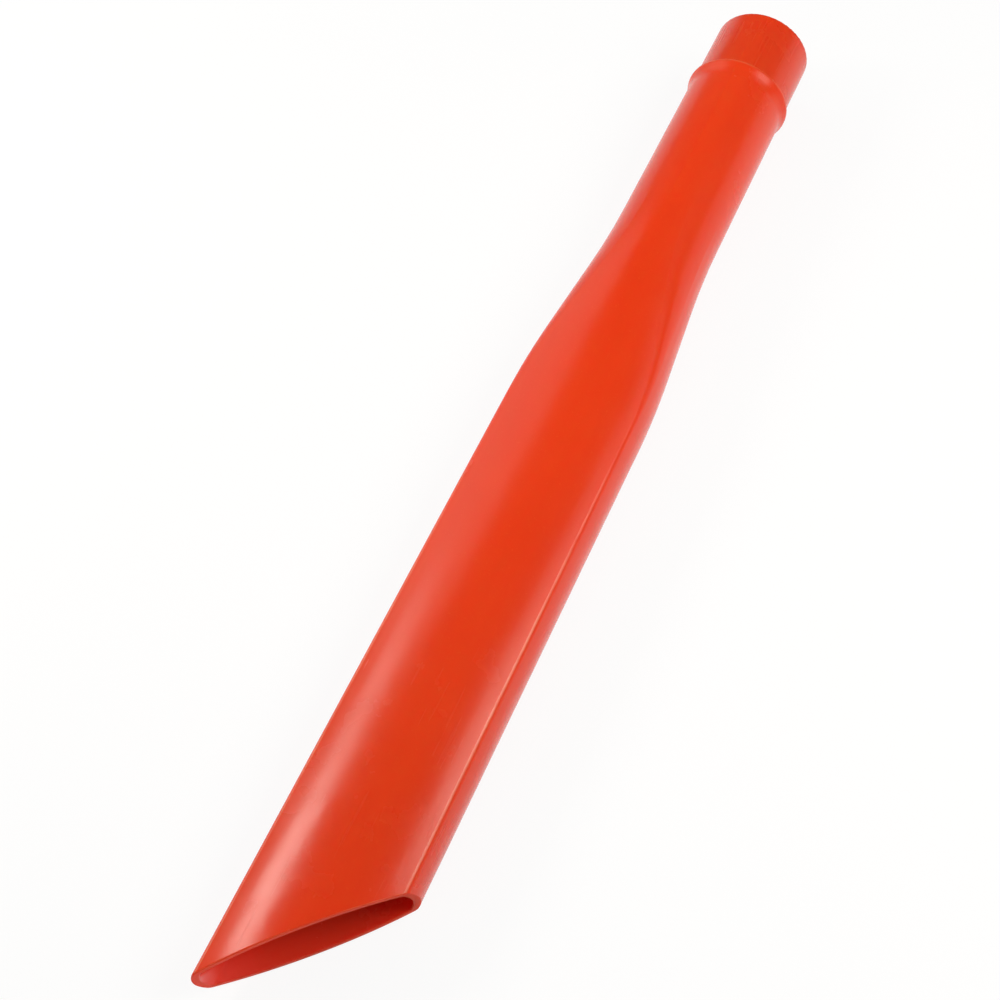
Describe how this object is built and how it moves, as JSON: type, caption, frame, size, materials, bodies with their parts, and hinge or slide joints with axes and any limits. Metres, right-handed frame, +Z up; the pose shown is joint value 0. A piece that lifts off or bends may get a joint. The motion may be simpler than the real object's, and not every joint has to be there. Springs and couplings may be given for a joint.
{
  "type": "vacuum crevice tool",
  "caption": "Long one-piece plastic vacuum nozzle: a round hose spigot with a stop collar that flares into a wide flat hollow blade with a slanted open mouth.",
  "frame": {"origin": "on the floor, under the middle of the tool as it lies on a broad face", "axes": "+X along the tool from the spigot to the mouth, +Y across the blade to the shorter side of the mouth, +Z up"},
  "size_m": [0.4066, 0.0498, 0.0407],
  "materials": {
    "shell": "satin moulded orange-red plastic"
  },
  "bodies": {
    "root": {"crevice_tool": "shell"}
  },
  "joints": []
}
